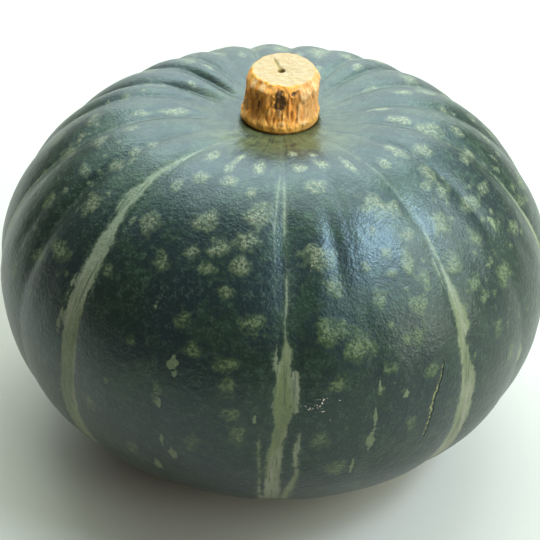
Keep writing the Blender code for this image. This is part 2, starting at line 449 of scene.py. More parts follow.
# Pale ridges and ledges left between them
PALE_CORK = (
    (-58.0, 14.2, 1.6, 1.5),
    (-38.0, 14.8, 1.2, 1.0),
    (-74.0, 6.0, 2.0, 4.4),
    (-70.0, 2.6, 2.4, 1.8),
    (-4.5, 7.0, 0.5, 1.7),
    (12.0, 7.0, 0.45, 1.9),
    (3.0, 3.8, 1.5, 0.7),
    (38.0, 3.4, 2.2, 0.6),
    (27.0, 9.0, 0.8, 5.4),
    (36.0, 13.0, 2.6, 3.4),
    (60.0, 14.0, 3.6, 3.0),
    (100.0, 14.4, 3.0, 2.2),
    (172.0, 13.4, 2.4, 3.0),
    (215.0, 13.8, 2.6, 2.4),
    (255.0, 12.0, 2.6, 3.0),
)
CORK_RADIUS = 12.0 * MM  # over which widths on the stalk's side are measured
# Heights and radii of the worn rim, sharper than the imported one
WORN_TOP = ((0.0163, 0.0101), (0.0171, 0.0097))
RIM_WEAR = 0.35 * MM
FACE_DROP = 0.1 * MM  # how far the worn cut face is lowered
FACE_TILT = math.radians(6.5)  # how far it leans to the front
SPLIT_AZIMUTH = 205.0  # of the crack in it
SPLIT_WIDTH = 0.64  # half width of the crack at the middle, in mm
SPLIT_TAPER = 0.04  # how much less that is for each millimetre outwards
SPLIT_DEPTH = 0.34  # in mm
# How deep the stalk's side is weathered, in mm
DECAY_DEPTH = 0.45
STAIN_DEPTH = 0.55
LIP_DEPTH = 0.30
WAIST_DEPTH = 1.00
PALE_RISE = 0.25
SIDE_SWELL = 0.45  # given back where the weathered side is cut in by about as much all over
FISSURE_SHARE = 0.75  # of the fissures' listed depths
# Azimuths over which the stalk's shaded side begins and ends. Painted light: there the side and lip are
# painted bright orange and amber, standing in for the light that side lacks, and the lit side darker tan
# and gold
SHADED_SIDE_STARTS = (-125.0, -95.0)
SHADED_SIDE_ENDS = (14.0, 44.0)

# Mesh fineness
RIND_STEPS = 416
BODY_RINGS = 206
BASIN_RINGS = 18
CORK_STEPS = 320
CORK_RINGS = 150


def ramp(value, low, high):
    """0 below low, 1 above high, smooth between."""
    share = np.clip((value - low) / (high - low), 0.0, 1.0)
    return share * share * (3.0 - 2.0 * share)


def body_point(turn):
    """Radius and height of the ungrooved body; turn runs from 0 at the stalk to pi at the blossom scar."""
    sine, cosine = np.sin(turn), np.abs(np.cos(turn))
    upper = sine ** CROWN_POWERS[0]
    crown = CROWN * cosine ** CROWN_POWERS[1] - DIMPLE * np.exp(-((upper / DIMPLE_REACH) ** 2))
    above = np.cos(turn) >= 0.0
    radius = np.where(above, upper, sine ** KEEL_POWERS[0])
    height = np.where(above, crown, -KEEL * cosine ** KEEL_POWERS[1])
    return radius * HALF_WIDTH, height * HALF_WIDTH


def basin_height(radius):
    """Height of the blossom basin, with the scar in its middle, from the equator."""
    hollow = BASIN_DEPTH * (1.0 - (radius / BASIN_RADIUS) ** 2) ** 2
    scar = SCAR_HEIGHT * np.clip(1.0 - (radius / SCAR_RADIUS) ** 2, 0.0, 1.0)
    return hollow - scar - FOOT_DEPTH


def rind_outline():
    """Radii, heights and arcs of the turned outline, from the socket's rim to the middle of the basin."""
    first = math.asin((SOCKET_RADIUS / HALF_WIDTH) ** (1.0 / CROWN_POWERS[0]))
    last = math.pi - math.acos((FOOT_DEPTH / (KEEL * HALF_WIDTH)) ** (1.0 / KEEL_POWERS[1]))
    radius, height = body_point(np.linspace(first, last, 40 * BODY_RINGS))
    basin = np.linspace(BASIN_RADIUS, 0.0, BASIN_RINGS)
    radius, height = np.append(radius, basin), np.append(height, basin_height(basin))
    arc = SOCKET_RADIUS + np.append(0.0, np.cumsum(np.hypot(np.diff(radius), np.diff(height))))
    even = np.linspace(arc[0], arc[-1], BODY_RINGS + BASIN_RINGS)
    return np.interp(even, arc, radius), np.interp(even, arc, height), even


def rolled(outline, steps):
    """A closed body of revolution: a flat grid rolled round Z, its rows laid down the outline."""
    mesh = bmesh.new()
    rows = len(outline) - 1
    bmesh.ops.create_grid(mesh, x_segments=steps, y_segments=rows, size=0.5)
    for vert in mesh.verts:
        angle = math.tau * (vert.co.x + 0.5)
        radius, height = outline[round((0.5 - vert.co.y) * rows)]
        vert.co = (radius * math.sin(angle), -radius * math.cos(angle), height)
    bmesh.ops.remove_doubles(mesh, verts=mesh.verts, dist=1e-6)
    bmesh.ops.recalc_face_normals(mesh, faces=mesh.faces)
    return mesh


def add_piece(name, mesh):
    data = bpy.data.meshes.new(name)
    mesh.to_mesh(data)
    mesh.free()
    data.shade_smooth()
    made = bpy.data.objects.new(name, data)
    bpy.context.collection.objects.link(made)
    return made


def corners(data):
    """The places of a mesh's vertices, one row each."""
    flat = np.empty(3 * len(data.vertices), np.float32)
    data.vertices.foreach_get("co", flat)
    return flat.reshape(-1, 3).astype(float)


def move_corners(data, places):
    data.vertices.foreach_set("co", places.astype(np.float32).ravel())
    data.update()


def roughly(places, size, layer=0.0):
    """Smooth noise, from -1 to 1, with bumps of about that size, read at each row of places."""
    step = Vector((layer, layer, layer))
    return np.array([noise.noise(Vector((x, y, z)) / size + step) for x, y, z in places])


def groove_cut(azimuth):
    """How deep a groove cuts at each azimuth, before it is faded."""
    places = np.array([groove[0] for groove in GROOVES])
    depths = np.array([groove[1] for groove in GROOVES])
    round_again = (azimuth - places[0]) % 360.0 + places[0]
    rib = np.searchsorted(places, round_again, side="right") - 1
    following = (rib + 1) % len(GROOVES)
    width = (places[following] - places[rib]) % 360.0
    side = 2.0 * (round_again - places[rib]) / width - 1.0
    return np.where(side < 0.0, depths[rib], depths[following]) * side * side


def groove_fade(down):
    """Share of the full groove depth at an angle down from the stalk, in degrees."""
    easing = 1.0 - (1.0 - SIDE_SHARE) * ramp(down, *GROOVE_EASES)
    return ramp(down, *GROOVE_STARTS) * easing * (1.0 - ramp(down, *GROOVE_ENDS))


def lobe_flatness(azimuth):
    """0 on the fullest lobes and 1 on the flattest, a slow change round the body."""
    angle = np.radians(azimuth)
    return 0.5 - 0.5 * sum(share * np.sin(swells * angle + phase) for share, swells, phase in SWELL_WAVES)


def shape_rind(piece, pressed):
    """Presses the ribs in, and the unevenness of the skin, and leans the crown to the stalk."""
    places = corners(piece.data)
    radius, height = np.hypot(places[:, 0], places[:, 1]), places[:, 2]
    azimuth = np.degrees(np.arctan2(places[:, 0], -places[:, 1]))
    down = np.degrees(np.arctan2(radius, height))
    swell = LOBE_SWELL * (lobe_flatness(azimuth) - 0.5) * np.sin(np.radians(down)) ** 2
    inward = groove_cut(azimuth) * groove_fade(down) + swell * (1.0 - ramp(down, *GROOVE_ENDS))
    inward += pressed
    scale = 1.0 - inward / np.hypot(radius, height)
    pull = 1.0 - ramp(down, *OFFSET_FADES)
    places *= scale[:, None]
    places[:, 0] += STALK_OFFSET[0] * pull
    places[:, 1] += STALK_OFFSET[1] * pull
    move_corners(piece.data, places)


def add_values(data, name, values):
    """Keeps one number, or one row of three, for each vertex, for the material to read."""
    vector = values.ndim == 2
    made = data.attributes.new(name, "FLOAT_VECTOR" if vector else "FLOAT", "POINT")
    made.data.foreach_set("vector" if vector else "value", values.astype(np.float32).ravel())


def apart(azimuth, other):
    """Degrees from other to azimuth, the short way round."""
    return (azimuth - other + 180.0) % 360.0 - 180.0


def faint_stripe(azimuth, draw):
    """A plainer stripe in the groove at that azimuth, a little different each time."""
    full = draw.uniform(0.6, 1.1)
    main = tuple((arc, azimuth + draw.uniform(-0.8, 0.8), half * full * draw.uniform(0.8, 1.2))
                 for arc, half in FAINT_WIDTHS)
    start, side = draw.uniform(60.0, 110.0), draw.choice((-1.0, 1.0))
    beside = tuple((start + step, azimuth + side * (3.4 + draw.uniform(-0.3, 0.3)), half)
                   for step, half in ((0.0, -0.8), (4.0, 0.4), (20.0, 0.7), (38.0, 0.4), (44.0, -0.8)))
    return main, beside, NO_STROKE


def stroke_value(stroke, arc, column):
    """The azimuth or the half width of a stroke at each arc."""
    points = np.array(stroke, float).T
    return np.interp(arc / MM, points[0], points[column])


def mark_stripes(piece, azimuth, arc, radius):
    """Keeps each vertex's distance across the strokes of the nearest stripe, and their half widths, in mm.

    Gives how far inside the strokes each vertex is, in mm, and below 0 outside them.
    """
    draw = np.random.default_rng(3)
    stripes = [LEFT_STRIPE, MIDDLE_STRIPE, RIGHT_STRIPE, FLANK_BAND]
    stripes += [faint_stripe(place, draw) for place in FAINT_STRIPES]
    nearest = np.full(len(azimuth), 1e3)
    across, half = np.zeros((len(azimuth), 3)), np.full((len(azimuth), 3), HIDDEN)
    for main, left, right in stripes:
        off = apart(azimuth, stroke_value(main, arc, 1))
        closer = np.abs(off) < np.abs(nearest)
        nearest = np.where(closer, off, nearest)
        for column, stroke in enumerate((main, left, right)):
            gap = np.radians(apart(azimuth, stroke_value(stroke, arc, 1))) * radius / MM
            across[:, column] = np.where(closer, gap, across[:, column])
            half[:, column] = np.where(closer, stroke_value(stroke, arc, 2), half[:, column])
    gone = ramp(np.abs(nearest), *STRIPE_ENDS)[:, None]
    half = half * (1.0 - gone) + HIDDEN * gone
    add_values(piece.data, "across", across)
    add_values(piece.data, "half", half)
    return (half - np.abs(across)).max(1)


def field_of(spots, azimuth, arc, radius):
    """1 in the middle of a spot, 0 at its edge and below 0 outside, whichever spot is strongest."""
    field = np.full(len(azimuth), -1.0)
    for place, down, wide, tall in spots:
        across = np.radians(apart(azimuth, place)) * radius / MM
        field = np.maximum(field, 1.0 - np.hypot(across / wide, (arc / MM - down) / tall))
    return field


def strew_blotches(radius_at):
    """Blotches for the sides and the back, of the same kind as the listed ones and clear of one another."""
    draw = np.random.default_rng(11)
    chosen = []
    for _ in range(STREWN):
        place, down = draw.uniform(FRONT_SIDE, 360.0 - FRONT_SIDE), draw.uniform(30.0, 150.0)
        size = draw.uniform(1.6, 4.2) * (1.0 - 0.4 * float(ramp(down, 90.0, 150.0)))
        tall = size * (1.0 + 0.8 * float(ramp(60.0 - down, 0.0, 25.0))
                       + 0.6 * float(ramp(down, 95.0, 130.0)))
        here = radius_at(down)
        room = all(math.hypot(math.radians(apart(place, other[0])) * here, down - other[1]) > SPARE_ROOM
                   for other in chosen)
        if room:
            chosen.append((place, down, size * min(1.0, here / 60.0 + 0.2), tall))
    hazy = [spot for spot in chosen if draw.uniform() < 0.25 + 0.75 * float(ramp(spot[1], 60.0, 100.0))]
    return tuple(spot for spot in chosen if spot not in hazy), tuple(hazy)


def strew_specks():
    """Small faint blotches, thick on both flanks and thinner round the back."""
    draw = np.random.default_rng(17)
    return tuple((draw.uniform(*sides), draw.uniform(*arcs), draw.uniform(*SPECK_SIZES),
                  draw.uniform(*SPECK_SIZES)) for sides, arcs, count in SPECKLED for _ in range(count))


def roughened(places, azimuth, arc, radius, inside, patchy):
    """How far in, in metres, its unevenness presses the skin. Only the fuller crease stands out."""
    fade = ramp(arc, *UNEVEN_STARTS) * (1.0 - ramp(arc, *UNEVEN_ENDS))
    inward = sum(depth * (1.0 + roughly(places, size, layer)) for depth, size, layer in UNEVENNESS)
    inward += STRIPE_SINK * ramp(inside, -0.5, 1.0) - BLOTCH_RISE * ramp(patchy, -0.1, 0.4)
    for place, first, last, half, depth in CREASES:
        across = np.radians(apart(azimuth, place)) * radius / MM
        along = ramp(arc / MM, first - 6.0, first + 6.0) * (1.0 - ramp(arc / MM, last - 8.0, last + 8.0))
        inward += depth * MM * along * np.exp(-((across / half) ** 2))
    streaks = np.stack([np.sin(np.radians(azimuth)), -np.cos(np.radians(azimuth)), arc * 3.0], 1) * 0.010
    near = ramp(arc, 13.0 * MM, 20.0 * MM) * (1.0 - ramp(arc, 35.0 * MM, 60.0 * MM))
    inward += STREAK_DEPTH * near * (1.0 + roughly(streaks, 0.0011, 2.0))
    return (inward + BLOTCH_RISE) * fade


def make_rind():
    radii, heights, arcs = rind_outline()
    floor = heights[0] - SOCKET_DEPTH
    outline = [(0.0, floor), (radii[0], floor)] + list(zip(radii, heights))
    outline[-1] = (0.0, outline[-1][1])
    piece = add_piece("rind_skin", rolled(outline, RIND_STEPS))
    places = corners(piece.data)
    azimuth = np.degrees(np.arctan2(places[:, 0], -places[:, 1]))
    radius = np.hypot(places[:, 0], places[:, 1])
    down = np.arctan2(radius, places[:, 2])
    arc = np.interp(down, np.arctan2(radii, heights), arcs)
    angle = np.radians(azimuth)
    add_values(piece.data, "arc", arc)
    add_values(piece.data, "basin", np.where(down > math.pi / 2.0, radius / MM, HALF_WIDTH / MM))
    around = np.stack([HALF_WIDTH * np.sin(angle), -HALF_WIDTH * np.cos(angle), arc], 1)
    add_values(piece.data, "skin", around)
    inside = mark_stripes(piece, azimuth, arc, radius)
    strong, hazy = strew_blotches(lambda down_mm: float(np.interp(down_mm * MM, arcs, radii)) / MM)
    patchy = field_of(BLOTCHES + strong, azimuth, arc, radius)
    add_values(piece.data, "blotch", patchy)
    add_values(piece.data, "haze", field_of(HAZY_BLOTCHES + hazy + strew_specks(), azimuth, arc, radius))
    add_values(piece.data, "fleck", field_of(FLECKS, azimuth, arc, radius))
    add_values(piece.data, "nick", field_of(NICKS, azimuth, arc, radius))
    for name, stroke in (("scratch", SCRATCH), ("groove_shade", GROOVE_SHADE_LINE)):
        off = np.radians(apart(azimuth, stroke_value(stroke, arc, 1))) * radius / MM
        add_values(piece.data, name, np.stack([off, stroke_value(stroke, arc, 2), 0.0 * off], 1))
    shape_rind(piece, roughened(places, azimuth, arc, radius, inside, patchy))
    return piece


def make_cork():
    """The stalk stub: a cracked corky side over a flared lip, and a dished cut face with the pith hole."""
    root = SOCKET_RADIUS - GAP
    points = [(0.0, GAP - SOCKET_DEPTH), (root, GAP - SOCKET_DEPTH), (root, STEM_SIDE[0][0])]
    points += [(radius, height) for height, radius in STEM_SIDE[:-2] + WORN_TOP]
    dished = STEM_HEIGHT - CUT_DISH
    points += [(FACE_RADIUS * share, STEM_HEIGHT - CUT_DISH * (1.0 - share * share))
               for share in FACE_SHARES]
    points += [(PITH_RADIUS, dished), (PITH_RADIUS * 0.8, dished - PITH_DEPTH), (0.0, dished - PITH_DEPTH)]
    points = np.array(points)
    length = np.append(0.0, np.cumsum(np.hypot(*np.diff(points, axis=0).T)))
    even = np.linspace(0.0, length[-1], CORK_RINGS)
    outline = np.stack([np.interp(even, length, points[:, 0]), np.interp(even, length, points[:, 1])], 1)
    for _ in range(3):
        outline[1:-1] = 0.25 * outline[:-2] + 0.5 * outline[1:-1] + 0.25 * outline[2:]
    piece = add_piece("cork_stub", rolled([tuple(point) for point in outline], CORK_STEPS))
    shape_cork(piece)
    return piece


def strewn_fissures():
    """Fissures for the stalk's hidden side, of the same kind as the listed ones."""
    draw = np.random.default_rng(5)
    places = np.arange(FRONT_FISSURES + 4.0, 360.0 - FRONT_FISSURES, FISSURE_SPACING)
    return tuple((place + draw.uniform(-2.5, 2.5), draw.uniform(1.8, 4.0), draw.uniform(8.0, 15.0),
                  draw.uniform(0.22, 0.55), draw.uniform(0.25, 0.60)) for place in places)


def fissure_depth(azimuth, height, round_it):
    """Depth in mm of the deepest fissure at each point of the stalk's side. Each one wanders and fades."""
    bends = [roughly(round_it * (1.0, 1.0, 1.3), 0.0046, layer) for layer in (0.0, 11.0)]
    strengths = [roughly(round_it, 0.0027, layer) for layer in (21.0, 31.0)]
    depth_here = np.zeros(len(azimuth))
    for count, (place, low, high, half, depth) in enumerate(FISSURES + strewn_fissures()):
        share, other = math.cos(FISSURE_TURN * count), math.sin(FISSURE_TURN * count)
        bend = share * bends[0] + other * bends[1]
        strength = ramp(other * strengths[0] - share * strengths[1], -0.30, 0.20)
        across = np.radians(apart(azimuth + 8.0 * bend, place)) * CORK_RADIUS / MM
        along = ramp(height / MM, low - 1.0, low + 1.0) * (1.0 - ramp(height / MM, high - 1.4, high + 1.0))
        along *= 0.2 + 0.8 * strength
        wide = half * (0.7 + 0.6 * strength)
        depth_here = np.maximum(depth_here, depth * along * np.exp(-((across / wide) ** 2)))
    return depth_here


def shape_cork(piece):
    """Weathers the stalk's side, splits and grains its cut face, and keeps both for the material."""
    places = corners(piece.data)
    radius, height = np.hypot(places[:, 0], places[:, 1]), places[:, 2].copy()
    angle = np.arctan2(places[:, 0], -places[:, 1])
    azimuth = np.degrees(angle)
    side = ramp(radius, 0.80 * FACE_RADIUS, 0.98 * FACE_RADIUS) * ramp(height, 0.3 * MM, 2.0 * MM)
    face = ramp(height, 15.4 * MM, 16.6 * MM) * (1.0 - ramp(radius, 0.93 * FACE_RADIUS, 1.02 * FACE_RADIUS))
    round_it = np.stack([CORK_RADIUS * np.sin(angle), -CORK_RADIUS * np.cos(angle), height], 1)
    fibres = round_it * (1.0, 1.0, 0.35)

    fissure = FISSURE_SHARE * fissure_depth(azimuth, height, round_it)
    around = np.full(len(azimuth), CORK_RADIUS)
    decay = field_of(DECAY, azimuth, height, around) + 0.60 * roughly(round_it, 0.0016, 4.0)
    stain = field_of(STAIN, azimuth, height, around) + 0.65 * roughly(fibres, 0.0014, 6.0)
    pale = field_of(PALE_CORK, azimuth, height, around) + 0.55 * roughly(fibres, 0.0016, 8.0)
    inward = fissure + DECAY_DEPTH * ramp(decay, -0.1, 0.4) * (1.0 + 0.6 * roughly(round_it, 0.0009, 3.0))
    inward += 0.14 * (1.0 + roughly(fibres, 0.0011, 7.0)) + 0.22 * (1.0 + roughly(round_it, 0.0036, 1.0))
    inward += 0.16 * (1.0 + roughly(round_it * (1.0, 1.0, 0.7), 0.0017, 12.0))
    middle = ramp(height / MM, 3.0, 6.5) * (1.0 - ramp(height / MM, 10.0, 15.0))
    inward += STAIN_DEPTH * middle * ramp(stain, -0.4, 0.5)
    inward -= PALE_RISE * ramp(pale, 0.0, 0.5)
    inward += LIP_DEPTH * (1.0 - ramp(height / MM, 2.6, 4.6)) * (1.0 + roughly(round_it, 0.0026, 14.0))
    inward += WAIST_DEPTH * ramp(height / MM, 2.2, 4.8) * (1.0 - ramp(height / MM, 7.0, 15.0))
    ledge = ramp(-azimuth, -20.0, 10.0) * ramp(azimuth, -85.0, -60.0) * ramp(height / MM, 13.6, 16.6)
    inward += ledge * (0.55 + 0.8 * roughly(round_it, 0.0021, 18.0))
    scale = 1.0 - side * (np.maximum(inward, 0.0) - SIDE_SWELL) * MM / np.maximum(radius, MM)
    places[:, :2] *= scale[:, None]

    split = np.abs(radius * np.sin(angle - math.radians(SPLIT_AZIMUTH))) / MM
    ahead = np.cos(angle - math.radians(SPLIT_AZIMUTH)) > 0.0
    wedge = ramp(radius / MM, 0.4, 1.2) * (1.0 - ramp(radius / MM, 6.2, 8.6)) * ahead
    split += 0.35 * roughly(places, 0.0019, 24.0)
    split = wedge * np.exp(-((split / (SPLIT_WIDTH - SPLIT_TAPER * radius / MM)) ** 2))
    rings = np.stack([places[:, 0], places[:, 1] * 1.6, 0.0 * angle], 1)
    worn = 0.10 * (1.0 + roughly(rings, 0.0017, 2.0)) + 0.05 * (1.0 + roughly(places, 0.0007))
    places[:, 2] -= face * (SPLIT_DEPTH * split + worn) * MM
    rim = ramp(height, 14.0 * MM, 17.0 * MM) * ramp(radius, 0.5 * FACE_RADIUS, FACE_RADIUS)
    places[:, 2] -= RIM_WEAR * rim * (1.0 + roughly(round_it * (1.0, 1.0, 0.0), 0.0032, 16.0))
    places[:, 0] += TOP_SWELL * ramp(height, 0.0, STEM_HEIGHT) * ramp(radius, 0.0, FACE_RADIUS)
    back = places[:, 1] - FACE_RADIUS
    leaned = places[:, 1] * math.tan(CUT_TILT) + back * (math.tan(FACE_TILT) - math.tan(CUT_TILT))
    places[:, 2] += (leaned - FACE_DROP) * ramp(height, 0.35 * STEM_HEIGHT, STEM_HEIGHT)
    move_corners(piece.data, places)

    add_values(piece.data, "crack", (fissure / 0.4) * side)
    add_values(piece.data, "decay", decay)
    add_values(piece.data, "stain", stain)
    add_values(piece.data, "pale", pale + 0.9 * ledge)
    add_values(piece.data, "split", split * face)
    add_values(piece.data, "height", height / MM)
    # Painted light: 1 on the lit side and 0 on the shaded side, for lit and shaded copies of the stalk's
    # colours
    dark = ramp(azimuth, *SHADED_SIDE_STARTS) * (1.0 - ramp(azimuth, *SHADED_SIDE_ENDS))
    add_values(piece.data, "painted_lit_side", 1.0 - dark)
    add_values(piece.data, "cut", face)
    add_values(piece.data, "fibres", fibres)
    add_values(piece.data, "pith", 1.0 - ramp(radius / MM, 0.8, 1.5))


class Wire:
    """One output of a shader node, so that sums of masks read as sums."""

    def __init__(self, finish, socket):
        self.finish = finish
        self.socket = socket

    def __add__(self, other):
        return self.finish.sum_of("ADD", self, other)

    def __sub__(self, other):
        return self.finish.sum_of("SUBTRACT", self, other)

    def __rsub__(self, other):
        return self.finish.sum_of("SUBTRACT", other, self)

    def __mul__(self, other):
        return self.finish.sum_of("MULTIPLY", self, other)

    def __abs__(self):
        return self.finish.sum_of("ABSOLUTE", self)

    __radd__ = __add__
    __rmul__ = __mul__

    def rise(self, low, high):
        """0 below low, 1 above high, smooth between."""
        return self.finish.node("MapRange", {"interpolation_type": "SMOOTHSTEP"},
                                {"Value": self, "From Min": low, "From Max": high})

    def most(self, other):
        return self.finish.sum_of("MAXIMUM", self, other)


class Finish:
    """A material under construction."""

    def __init__(self, name):
        self.material = bpy.data.materials.new(name)
        self.material.use_nodes = True
        self.tree = self.material.node_tree
        self.shader = self.tree.nodes["Principled BSDF"]

    def node(self, kind, settings, values, output=0):
        """Adds a node of that type: its settings first, then the values or links of its sockets."""
        made = self.tree.nodes.new("ShaderNode" + kind)
        for name, value in settings.items():
            setattr(made, name, value)
        for name, value in values.items():
            self.feed(made.inputs[name], value)
        return Wire(self, made.outputs[output])

    def feed(self, socket, value):
        if isinstance(value, Wire):
            self.tree.links.new(value.socket, socket)
        else:
            socket.default_value = value

    def set(self, **values):
        """Values or links of the material's own sockets, by name with _ for a space."""
        for name, value in values.items():
            self.feed(self.shader.inputs[name.replace("_", " ")], value)

    def sum_of(self, operation, *values):
        return self.node("Math", {"operation": operation}, dict(enumerate(values)))

    def own(self, name):
        """A number kept on the mesh."""
        return self.node("Attribute", {"attribute_name": name}, {}, "Fac")

    def own_place(self, name):
        """A row of three kept on the mesh."""
        return self.node("Attribute", {"attribute_name": name}, {}, "Vector")

    def place(self):
        return self.node("TexCoord", {}, {}, "Object")

    def stretched(self, place, x, y, z):
        return self.node("VectorMath", {"operation": "MULTIPLY"}, {0: place, 1: (x, y, z)})

    def noise(self, place, size, detail=2.0, roughness=0.5):
        """Noise with bumps of about that size in metres, mostly from 0.3 to 0.7."""
        return self.node("TexNoise", {}, {"Vector": place, "Scale": 1.0 / size, "Detail": detail,
                                          "Roughness": roughness})

    def blend(self, first, second, share):
        """From the first colour to the second as share goes from 0 to 1."""
        # Inputs 6 and 7 and output 2 of this node are the ones for colours
        values = {"Factor": share, 6: paint(first), 7: paint(second)}
        return self.node("Mix", {"data_type": "RGBA"}, values, 2)

    def parts(self, vector):
        """The three numbers of a row, each on its own wire."""
        first = self.node("SeparateXYZ", {}, {0: vector})
        return [Wire(self, output) for output in first.socket.node.outputs]

    def bump(self, height, depth):
        return self.node("Bump", {}, {"Height": height, "Distance": depth}, "Normal")


def paint(colour):
    """A linear colour as a socket takes it, or the wire of one unchanged."""
    return colour if isinstance(colour, Wire) else (*colour, 1.0)


# Colours, linear
SKIN_BLUE = (0.0095, 0.0165, 0.0165)
SKIN_DARK = (0.0090, 0.0185, 0.0110)
SKIN_GREEN = (0.0200, 0.0370, 0.0175)
SKIN_DEEP = (0.0040, 0.0085, 0.0050)
# The next colour is painted highlight: lighter specks standing in for glints on the fine pebbled skin
SKIN_GLINT_SPECK = (0.0560, 0.0800, 0.0580)
SKIN_OLIVE = (0.1100, 0.1150, 0.0450)
STRIPE_PALE = (0.2300, 0.2220, 0.1450)
STRIPE_OLIVE = (0.1280, 0.1430, 0.0560)
STRIPE_GREY = (0.2250, 0.2380, 0.1650)
STRIPE_DARK = (0.0500, 0.0720, 0.0360)
FLECK_GREEN = (0.1400, 0.1650, 0.0780)
NICK_PALE = (0.7000, 0.5600, 0.4600)
SCRATCH_PALE = (0.2600, 0.2500, 0.0900)
CREAM = (0.3200, 0.3050, 0.1850)
TAN = (0.1900, 0.1700, 0.0950)
BLOTCH_GREEN = (0.1650, 0.1800, 0.1150)
BLOTCH_GROUND = (0.0760, 0.0900, 0.0500)
BLOTCH_OLIVE = (0.0480, 0.0700, 0.0250)
BLOTCH_LOWER = (0.1250, 0.1480, 0.0640)
SCAR_TAN = (0.3200, 0.2300, 0.1200)
SCAR_BROWN = (0.1300, 0.0850, 0.0400)


